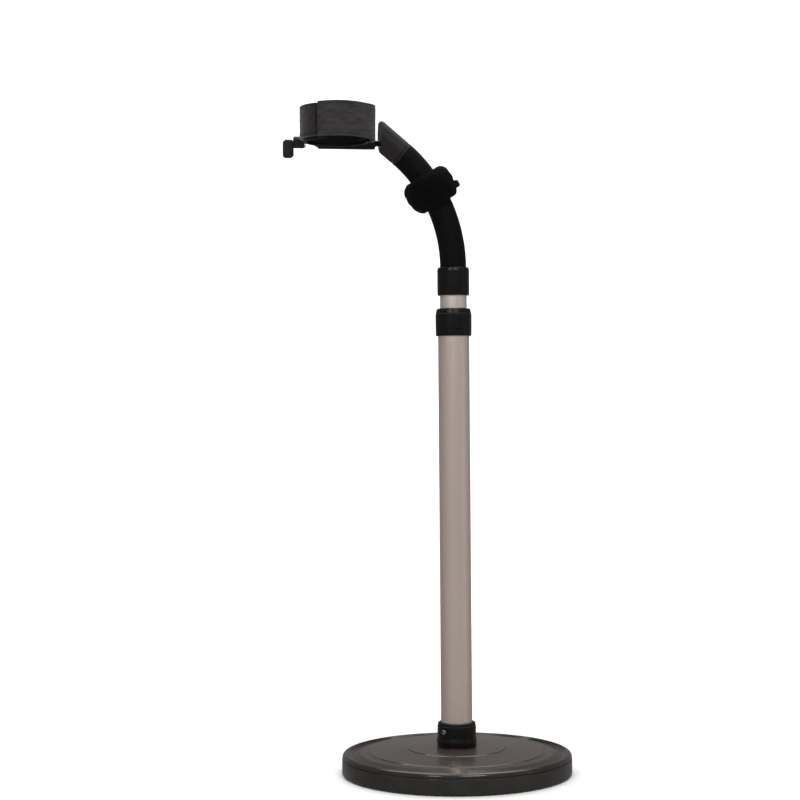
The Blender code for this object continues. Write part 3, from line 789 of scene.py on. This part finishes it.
def build_sleeve():
    """The sleeve in eight lengths, one over each hinge, which meet in the middle of the links."""
    inner = ARM_RADIUS - SLEEVE_WALL
    hinges = [hinge_distance(name) for name in HINGES]
    half = (hinges[1] - hinges[0]) / 2
    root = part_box("arm_root_plug")[0].z - ARM_FOOT
    cuts = [root] + [h + half for h in hinges[:-1]] + [hinges[-1] + SLEEVE_PAST_HINGE]
    for number, (start, end, hinge) in enumerate(zip(cuts, cuts[1:], hinges), 1):
        outline = [(inner, start), (ARM_RADIUS, start), (ARM_RADIUS, end), (inner, end)]
        piece = turned(f"arm_sleeve_{number}", refine(outline, 0.0006), steps=96, warp=sleeve_ripple)
        dress(piece, "arm_sleeve")
        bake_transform(piece)
        if number < len(HINGES):
            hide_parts(f"arm_link_{number}")
        if number == 1:
            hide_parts("arm_root_plug")


def arm_point(distance):
    x, z = arm_middle(np.array([distance]))
    return float(x[0]), 0.0, float(z[0])


def arm_frame(distance):
    """A frame on the arm's middle line, with Z along the arm and X on its outer side."""
    lean = float(arm_lean(np.array([distance]))[0])
    return Matrix.Translation(arm_point(distance)) @ Matrix.Rotation(-lean, 4, "Y")


# --- Cord tie ---


def tie_swell(points):
    """Rounds the wound tape like a ball, with the steps of its lapped turns running aslant."""
    x, y, z = points.T
    radius, angle = round_axis(points)
    outer = eased((radius - 0.0156) / 0.0020)
    slant = 0.0042 * np.cos(angle - 1.2)
    turns = np.zeros(len(points))
    for edge in (-0.0086, -0.0008, 0.0072):
        turns += eased((z - edge - slant) / 0.0022 + 0.5)
    lap = TAPE * (turns - 1.5) * 0.7 + 0.0014 * (1 - np.cos(angle)) / 2
    past_seam = (angle + 2.1) % FULL_TURN
    seam = TAPE * 0.8 * eased(past_seam / 0.12) * (1 - past_seam / FULL_TURN)
    soft = 0.00035 * bumps(points, 520, 3) + 0.00012 * bumps(points, 2400, 4)
    grown = radius + outer * (lap * (1 - (np.abs(z) / TIE_HALF) ** 4) + seam - 0.0007 + soft)
    return np.stack([x / radius * grown, y / radius * grown, z], axis=1)


def build_cord_tie():
    outline = []
    for k in range(41):
        share = -1 + 2 * k / 40
        side = math.sin(share * math.pi / 2)
        dome = math.sqrt(max(0.0, 1 - side * side))
        outline.append((TIE_LIP + (TIE_RADIUS - TIE_LIP) * dome, TIE_HALF * side))
    mouth = [(0.0154, TIE_HALF - 0.0006), (0.0151, TIE_HALF - 0.0018)]
    mouth += [(0.0138, 0.0096), (0.0122, 0.0070)]
    outline += mouth + [(radius, -height) for radius, height in reversed(mouth)]
    here = arm_frame(hinge_distance(HINGES[TIE_LINK - 1]) + TIE_SHIFT)
    tie = turned("cord_tie_winding", refine(outline, 0.0005), here, 240, warp=tie_swell, sharp=60)
    dress(tie, "hook_and_loop", f"link_{TIE_LINK}", ["cord_tie"])
    build_tie_tab(here)


def build_tie_tab(here):
    """The tape's free end, which stands a little off the winding."""

    def lift(points):
        radius, angle = round_axis(points)
        share = np.clip((angle - TAB_START) / (TAB_END - TAB_START), 0, 1)
        radius = radius + 0.0022 * share**2.2 + 0.0002 * bumps(points, 900, 8)
        narrow = 1 - 0.30 * eased((share - 0.75) / 0.25)
        return from_axis(radius, angle, TAB_HEIGHT + points[:, 2] * narrow)

    outline = slab(TIE_RADIUS - 0.0014, TIE_RADIUS - 0.0001, -0.0034, 0.0034, 0.0005, 0.0006)
    arc = (math.degrees(TAB_START), math.degrees(TAB_END))
    tab = turned("cord_tie_tab", outline, here, 60, arc, lift, sharp=50)
    dress(tab, "hook_and_loop", f"link_{TIE_LINK}")


# --- Elbow and cross bolt ---


def build_elbow():
    """The elbow: a bar along the arm's end, cut plumb and level, with a lip and the insert's seat."""
    low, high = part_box("elbow")
    last = Vector(JOINTS[HINGES[-1]]["pos_m"])
    axis = Matrix.Translation(last) @ Matrix.Rotation(-ELBOW_LEAN, 4, "Y")
    start = SLEEVE_PAST_HINGE + 0.00005
    elbow = turned("elbow_moulding", rod(ARM_RADIUS, start, 0.0450, 0.0004), axis, 96)
    carve(elbow, block("beyond", (low.x - 0.06, -0.03, 0.53), (low.x, 0.03, 0.63)))
    carve(elbow, block("above", (low.x - 0.07, -0.035, high.z), (low.x + 0.06, 0.035, 0.64)))
    mould(elbow, 0.0004, 7)
    lip = slab(ARM_RADIUS - 0.0020, ARM_RADIUS + 0.0001, start, start + 0.0022, 0.0003)
    carve(elbow, turned("lip", lip, axis, 96), "UNION")
    bore(elbow, INSERT_RADIUS + 0.0002, low.x - 0.01, -0.0569, 64)
    dress(elbow, "grey_plastic", "head", ["elbow"])
    build_bolt()


def knurled(points):
    """Teeth on the outside of the threaded insert."""
    radius, angle = round_axis(points)
    teeth = 1 - 0.05 * (0.5 + 0.5 * np.cos(28 * angle)) * (radius > 0.0038)
    return widened(points, teeth)


def wavy(points):
    """Three shallow waves round a washer."""
    angle = round_axis(points)[1]
    return points + np.outer(0.00016 * np.cos(3 * angle), (0, 0, 1))


def threaded(points):
    """A right-hand metric thread cut into the bolt where the insert holds it."""
    radius, angle = round_axis(points)
    phase = (points[:, 2] / THREAD_PITCH - angle / FULL_TURN) % 1
    depth = THREAD_DEPTH * (1 - 2 * np.abs(phase - 0.5))
    in_thread = (radius > 0.0025) & (points[:, 2] > THREAD_CUT_FROM)
    cut = np.where(in_thread, (radius - depth) / np.maximum(radius, 1e-9), 1)
    return widened(points, cut)


def build_bolt():
    """The cross bolt, the insert that it screws into and the wave washer under the lever."""
    pivot = along_x(PIVOT_Z)
    low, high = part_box("pivot_insert")
    outline = slab(BOLT_HOLE, INSERT_RADIUS, low.x, high.x, 0.0002, 0.0009)
    insert = turned("threaded_insert", outline, pivot, 112, warp=knurled)
    dress(insert, "steel", "head", ["pivot_insert"])
    low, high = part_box("pivot_bolt")
    bolt = rod(BOLT_RADIUS, low.x, high.x, 0.0004)
    shank = [p for p in bolt if p[1] < -0.0720]
    tip = [p for p in bolt if p[1] > high.x - 0.0006]
    thread = [(BOLT_RADIUS, THREAD_START + 0.0001 * k) for k in range(132)]
    piece = turned("cross_bolt", shank + thread + tip, pivot, 40, warp=threaded)
    dress(piece, "dark_steel", "head", ["pivot_bolt"])
    low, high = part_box("wave_washer")
    middle = (low.x + high.x) / 2
    outline = slab(BOLT_HOLE, 0.0050, middle - 0.0002, middle + 0.0002, 0.0001)
    washer = turned("spring_washer", outline, pivot, 96, warp=wavy)
    dress(washer, "steel", "head", ["wave_washer"])


# --- Cradle ---


def build_cradle_shell():
    """The open ring with its bracket, two ribs and the barrel that the cross bolt runs through."""
    low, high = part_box("cradle_shell")
    ring = Matrix.Translation(CRADLE)
    wall = slab(SHELL_INNER, SHELL_OUTER, low.z, high.z, 0.0004)
    shell = turned("cradle_moulding", wall, ring, 120, SHELL_ARC)
    half_width, back, foot = 0.0120, -0.0020, 0.5602
    bracket_low = (CRADLE.x - half_width, CRADLE.y + 0.0274, foot)
    bracket_high = (CRADLE.x + half_width, back, 0.5780)
    carve(shell, block("bracket", bracket_low, bracket_high, 0.0015), "UNION")
    for side in (-1, 1):
        x = CRADLE.x + side * half_width
        rib = block("rib", (x - 0.0012, -0.0175, foot), (x + 0.0012, back, 0.5840), 0.0006)
        carve(shell, rib, "UNION")
    barrel = rod(0.0055, -0.1320, -0.0703, 0.0005)
    carve(shell, turned("barrel", barrel, along_x(PIVOT_Z), 72), "UNION")
    mould(shell, 0.0005, 5)
    bore(shell, BOLT_HOLE, -0.15, -0.05, 48)
    dress(shell, "black_plastic", "cradle", ["cradle_shell"])


def thinned_ends(points, arc, inner, outer, reach=0.0010):
    """Rounds off a curved band's two cut ends by closing its wall towards the middle."""
    radius, angle = round_axis(points)
    middle = (inner + outer) / 2
    start, end = [math.radians(a) for a in arc]
    angle = start + (angle - start + 0.001) % FULL_TURN - 0.001
    to_end = np.minimum(angle - start, end - angle) * middle
    closing = np.sqrt(np.clip(1 - (1 - np.clip(to_end / reach, 0, 1)) ** 2, 0.08, 1))
    return angle, middle + (radius - middle) * closing, points[:, 2]


def build_liner():
    """The foam pad inside the ring, pressed between four sewn channels."""
    arc, inner, outer = LINER_ARC, 0.0243, 0.0259
    low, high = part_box("cradle_liner")

    def pad(points):
        angle, radius, z = thinned_ends(points, arc, inner, outer)
        inside = eased((0.0255 - radius) / 0.0010)
        height = (z - (low.z + high.z) / 2) / ((high.z - low.z) / 2)
        crown = 1 - np.abs(height) ** 6
        channel = sum(ridge((angle - math.radians(a)) * inner, 0.0010) for a in LINER_CHANNELS)
        pressed = 0.0007 * channel + 0.0005 * (1 - crown) + 0.00012 * bumps(points, 420, 5)
        radius = radius + inside * pressed
        return from_axis(radius, angle, z)

    outline = slab(inner, outer, low.z, high.z, 0.0006, 0.0007)
    liner = turned("cradle_pad", outline, Matrix.Translation(CRADLE), 260, arc, pad, 60)
    dress(liner, "foam", "cradle", ["cradle_liner"])


def build_loop_patch():
    """The brushed tape on the ring's left, flat under the strap's end and doubled where it shows."""
    arc, inner, outer = TAPE_ARC, 0.0289, 0.0301
    low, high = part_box("loop_patch")

    def pile(points):
        angle, radius, z = thinned_ends(points, arc, inner, outer, 0.0008)
        edge = np.minimum(z - low.z, high.z - z)
        start, end = [math.radians(a) for a in arc]
        edge = np.minimum(edge, np.minimum(angle - start, end - angle) * inner)
        sewn = ridge(edge - 0.0022, 0.0005)
        outside = eased((radius - 0.0294) / 0.0005)
        fuzz = 0.00012 * bumps(points, 3200, 11) + 0.00008 * bumps(points, 1100, 12)
        past_strap = eased((math.radians(STRAP_ARC[0] - 2.5) - angle) / 0.04)
        doubled = past_strap * eased((angle - start) * inner / 0.0012)
        radius = radius + outside * (fuzz * (edge > 0.0026) - 0.0003 * sewn + 0.0016 * doubled)
        return from_axis(radius, angle, z)

    outline = slab(inner, outer, low.z, high.z, 0.0004, 0.0005)
    patch = turned("loop_tape", outline, Matrix.Translation(CRADLE), 130, arc, pile, 60)
    dress(patch, "loop_tape", "cradle", ["loop_patch"])
    angles = np.arange(arc[0] + 4.4, STRAP_ARC[0] - 6.0, 4.6)
    rows = [(angle, height) for height in (low.z + 0.0022, high.z - 0.0022) for angle in angles]
    stitch_rows("loop_tape_stitches", rows, TAPE_STITCH_RADIUS, "cradle")


CREASES = [
    # angle and height of a crease's middle, its half length and slope, and how proud or deep it is
    (-74, 0.5795, 0.0120, -0.30, 0.00042),
    (-62, 0.5748, 0.0100, 0.22, 0.00034),
    (-84, 0.5720, 0.0085, -0.42, -0.00036),
    (-56, 0.5830, 0.0090, -0.18, -0.00030),
    (-101, 0.5840, 0.0080, 0.35, 0.00034),
    (-108, 0.5690, 0.0075, 0.55, 0.00036),
    (-92, 0.5655, 0.0105, 0.12, 0.00030),
    (-40, 0.5705, 0.0080, -0.25, 0.00032),
    (-119, 0.5775, 0.0065, -0.80, 0.00034),
    (-48, 0.5640, 0.0070, 0.30, -0.00030),
]


def build_strap():
    """The webbing strap in one length: riveted at one end, lapped over the loop tape at the other."""
    low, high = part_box("strap")

    def draped(points):
        angle, radius, z = thinned_ends(points, STRAP_ARC, STRAP_INNER, STRAP_OUTER)
        along = angle * STRAP_OUTER
        shift = np.zeros(len(points))
        for at, height, half, slope, proud in CREASES:
            u = along - math.radians(at) * STRAP_OUTER
            v = z - height - slope * u
            shift += proud * ridge(v, 0.0011) * np.exp(-((u / half) ** 4))
        hem = eased((math.radians(STRAP_ARC[0] + 11) - angle) / 0.02)
        edge = np.minimum(z - low.z, high.z - z)
        bound = ridge(edge - 0.0021, 0.00055)
        outside = eased((radius - (STRAP_INNER + 0.0007)) / 0.0005)
        soft = 0.00018 * bumps(points, 210, 21)
        radius = radius + outside * (shift + soft - 0.00022 * bound + 0.0005 * hem)
        radius = radius + BULGE * ridge(np.degrees(angle) - BULGE_AT, BULGE_WIDTH)
        sag = 0.00035 * np.sin(along / 0.0115) * (np.abs(z - (low.z + high.z) / 2) / 0.0150)
        return from_axis(radius, angle, z + sag)

    outline = slab(STRAP_INNER, STRAP_OUTER, low.z, high.z, 0.0005, 0.0006)
    strap = turned("webbing_strap", outline, Matrix.Translation(CRADLE), 190, STRAP_ARC, draped, 60)
    dress(strap, "webbing")
    blend_over_hinge(strap)
    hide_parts("strap", "strap_anchor")
    angles = np.arange(STRAP_ARC[0] + 4, 26, 4.4)
    rows = [(angle, height) for height in (low.z + 0.0021, high.z - 0.0021) for angle in angles]
    stitch_rows("strap_edge_stitches", rows, EDGE_STITCH_RADIUS, None)
    heights = np.arange(low.z + 0.0045, high.z - 0.003, 0.0026)
    rows = [(STRAP_ARC[0] + past, height) for past in (3.5, 9.5) for height in heights]
    stitch_rows("strap_hem_stitches", rows, HEM_STITCH_RADIUS, "strap", upright=True)
    build_rivets()


def blend_over_hinge(piece):
    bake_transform(piece)


def stitch_rows(name, rows, radius, body, upright=False):
    """Short thread stitches on a curved band, each given by its angle and height."""
    points, faces = [], []
    half_length, half_width = 0.00095, 0.00030
    up = Vector((0, 0, 1))
    for angle, height in rows:
        turn = math.radians(angle)
        out = Vector((math.cos(turn), math.sin(turn), 0))
        side = up.cross(out)
        along, across = (up, side) if upright else (side, up)
        middle = CRADLE + out * radius + up * height
        add_stitch(points, faces, middle, along * half_length, across * half_width, out * half_width)
    piece = mesh_piece(name, points, faces, sharp=80)
    dress(piece, "thread", body)
    if body is None:
        blend_over_hinge(piece)


def add_stitch(points, faces, middle, along, across, out):
    """One spindle of thread: seven rings of eight points, closed at both ends."""
    first = len(points)
    rings, sides = 7, 8
    for i in range(rings):
        share = math.pi * (i + 0.5) / rings
        for k in range(sides):
            turn = FULL_TURN * k / sides
            width = math.sin(share) ** 0.6
            places = across * (width * math.cos(turn)) + out * (width * math.sin(turn))
            points.append(middle - along * math.cos(share) + places)
    for i in range(rings - 1):
        for k in range(sides):
            a = first + i * sides + k
            b = first + i * sides + (k + 1) % sides
            faces.append([a, b, b + sides, a + sides])
    faces.append([first + k for k in range(sides)][::-1])
    faces.append([first + (rings - 1) * sides + k for k in range(sides)])


def build_rivets():
    """The strap's two rivets, with domed heads on flat collars."""
    root, under, rim, dome = 0.0264, 0.0324, 0.0331, 0.0009
    side = [(0.0015, root), (0.0015, under), (0.0033, under, 0.0002), (0.0031, rim, 0.0003)]
    outline = [(0, root)] + soften(side)
    for k in range(1, 9):
        turn = math.radians(90 * k / 8)
        outline.append((0.0029 * math.cos(turn), rim + dome * math.sin(turn)))
    for number in (1, 2):
        node = f"strap_rivet_{number}"
        rivet = turned(f"domed_rivet_{number}", outline, facing_out(node, CRADLE), 56)
        dress(rivet, "steel", "cradle", [node])


# --- Tilt lever ---


def build_lever():
    """The tilt lever: a round neck on the bolt and a short paddle with four finger grooves."""
    low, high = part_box("tilt_lever")
    shoulder = JOINTS["lever_turn"]["pos_m"][0]
    outline = rod(0.0053, shoulder - 0.003, high.x, 0.0008)
    neck = turned("lever_moulding", outline, along_x(PIVOT_Z), 72)
    paddle = block("paddle", (low.x, low.y, low.z), (shoulder, high.y, high.z - 0.0034), 0.0012)
    carve(neck, paddle, "UNION")
    reach, half_height = 0.0034, 0.0004
    for step in range(4):
        height = low.z + 0.0030 + 0.0022 * step
        groove_low = (low.x - 0.002, -reach, height - half_height)
        groove_high = (low.x + 0.0004, reach, height + half_height)
        carve(neck, block("groove", groove_low, groove_high))
    mould(neck, 0.0003, 4)
    bore(neck, BOLT_HOLE, -0.1473, -0.12, 48)
    dress(neck, "grey_plastic", "lever", ["tilt_lever"])


# --- Pieces that keep their CAD mesh ---


def finish_hidden_nodes():
    """Gives the nodes that can't be seen their materials."""
    inside = {
        "cast_iron": ["base_weight"],
        "steel": ["pole_bolt", "pole_washer", "mast_screw"] + [f"cover_screw_{n}" for n in (1, 2, 3, 4)],
        "black_plastic": ["tube_plug", "lock_body", "lock_collet", "glide_bush", "mast_plug"],
    }
    for look, names in inside.items():
        for name in names:
            give_look(frame["nodes"][name], look)


# --- Stage ---


def build_stage():
    """A pale floor that runs up into a backdrop without an edge."""
    profile = [(-14.0, 0.0), (2.6, 0.0)]
    for k in range(1, 25):
        turn = math.radians(90 * k / 24)
        profile.append((2.6 + 0.9 * math.sin(turn), 0.9 * (1 - math.cos(turn))))
    profile.append((3.5, 3.6))
    points = [(side * 14.0, y, z) for y, z in profile for side in (-1, 1)]
    faces = [[2 * i, 2 * i + 1, 2 * i + 3, 2 * i + 2] for i in range(len(profile) - 1)]
    mesh = bpy.data.meshes.new("studio_sweep")
    mesh.from_pydata(points, [], faces)
    mesh.shade_smooth()
    sweep = add_object("studio_sweep", mesh)
    paper = Look("studio_paper", (0.93, 0.93, 0.93), 0.8, Specular_IOR_Level=0.1)
    paper.paint(paper.shades(paper.noise(3, 3), 0.995, 1.005))
    mesh.materials.append(paper.material)
    sweep.visible_glossy = False


def add_softbox(name, at, towards, size, power):
    light = bpy.data.lights.new(name, "AREA")
    light.shape = "RECTANGLE"
    light.size, light.size_y = size
    light.energy = power
    lamp = add_object(name, light)
    lamp.location = at
    aim = Vector(towards) - Vector(at)
    lamp.rotation_euler = aim.to_track_quat("-Z", "Y").to_euler()
    lamp.visible_camera = False


def build_world():
    """A warm white room, lighter in front of the object than behind it."""
    world = bpy.data.worlds.new("studio")
    world.use_nodes = True
    tree = world.node_tree
    sky = tree.nodes["Background"]
    sky.inputs["Color"].default_value = (1.0, 0.97, 0.94, 1)
    direction = tree.nodes.new("ShaderNodeTexCoord").outputs["Generated"]
    parts = tree.nodes.new("ShaderNodeSeparateXYZ")
    fade = tree.nodes.new("ShaderNodeMapRange")
    for socket, value in (("From Min", -0.6), ("From Max", 0.6), ("To Min", 0.34), ("To Max", 0.20)):
        fade.inputs[socket].default_value = value
    tree.links.new(direction, parts.inputs[0])
    tree.links.new(parts.outputs["Y"], fade.inputs["Value"])
    tree.links.new(fade.outputs["Result"], sky.inputs["Strength"])
    bpy.context.scene.world = world


def build_lights():
    build_world()
    add_softbox("key", (-1.5, -2.1, 1.7), (0, 0, 0.35), (0.35, 0.40), 11)
    add_softbox("front", (0.25, -1.9, 1.85), (0, 0, 0.35), (0.9, 0.5), 15)
    add_softbox("strip", (1.77, -0.93, 0.45), (0, 0, 0.33), (0.12, 1.2), 0.4)
    add_softbox("top", (0.1, 0.8, 2.6), (0, 1.0, 0.0), (3.0, 3.0), 66)
    add_softbox("wash", (0.0, 1.2, 2.4), (0, 3.5, 0.8), (4.0, 0.8), 52)
    bpy.context.scene.view_settings.view_transform = "Standard"


def build_camera():
    data = bpy.data.cameras.new("camera")
    data.lens = CAMERA_LENS
    data.sensor_width = 36
    data.clip_start = 0.05
    camera = add_object("camera", data)
    upright = Matrix.Rotation(CAMERA_TURN, 4, "Z") @ Matrix.Rotation(math.radians(90), 4, "X")
    camera.matrix_world = Matrix.Translation(CAMERA_AT) @ upright @ Matrix.Rotation(CAMERA_ROLL, 4, "Z")
    bpy.context.scene.camera = camera


build_camera()
build_lights()
build_stage()
build_base()
build_tubes()
build_lock_collar()
build_ferrule()
build_sleeve()
build_cord_tie()
build_elbow()
build_cradle_shell()
build_liner()
build_loop_patch()
build_strap()
build_lever()
finish_hidden_nodes()
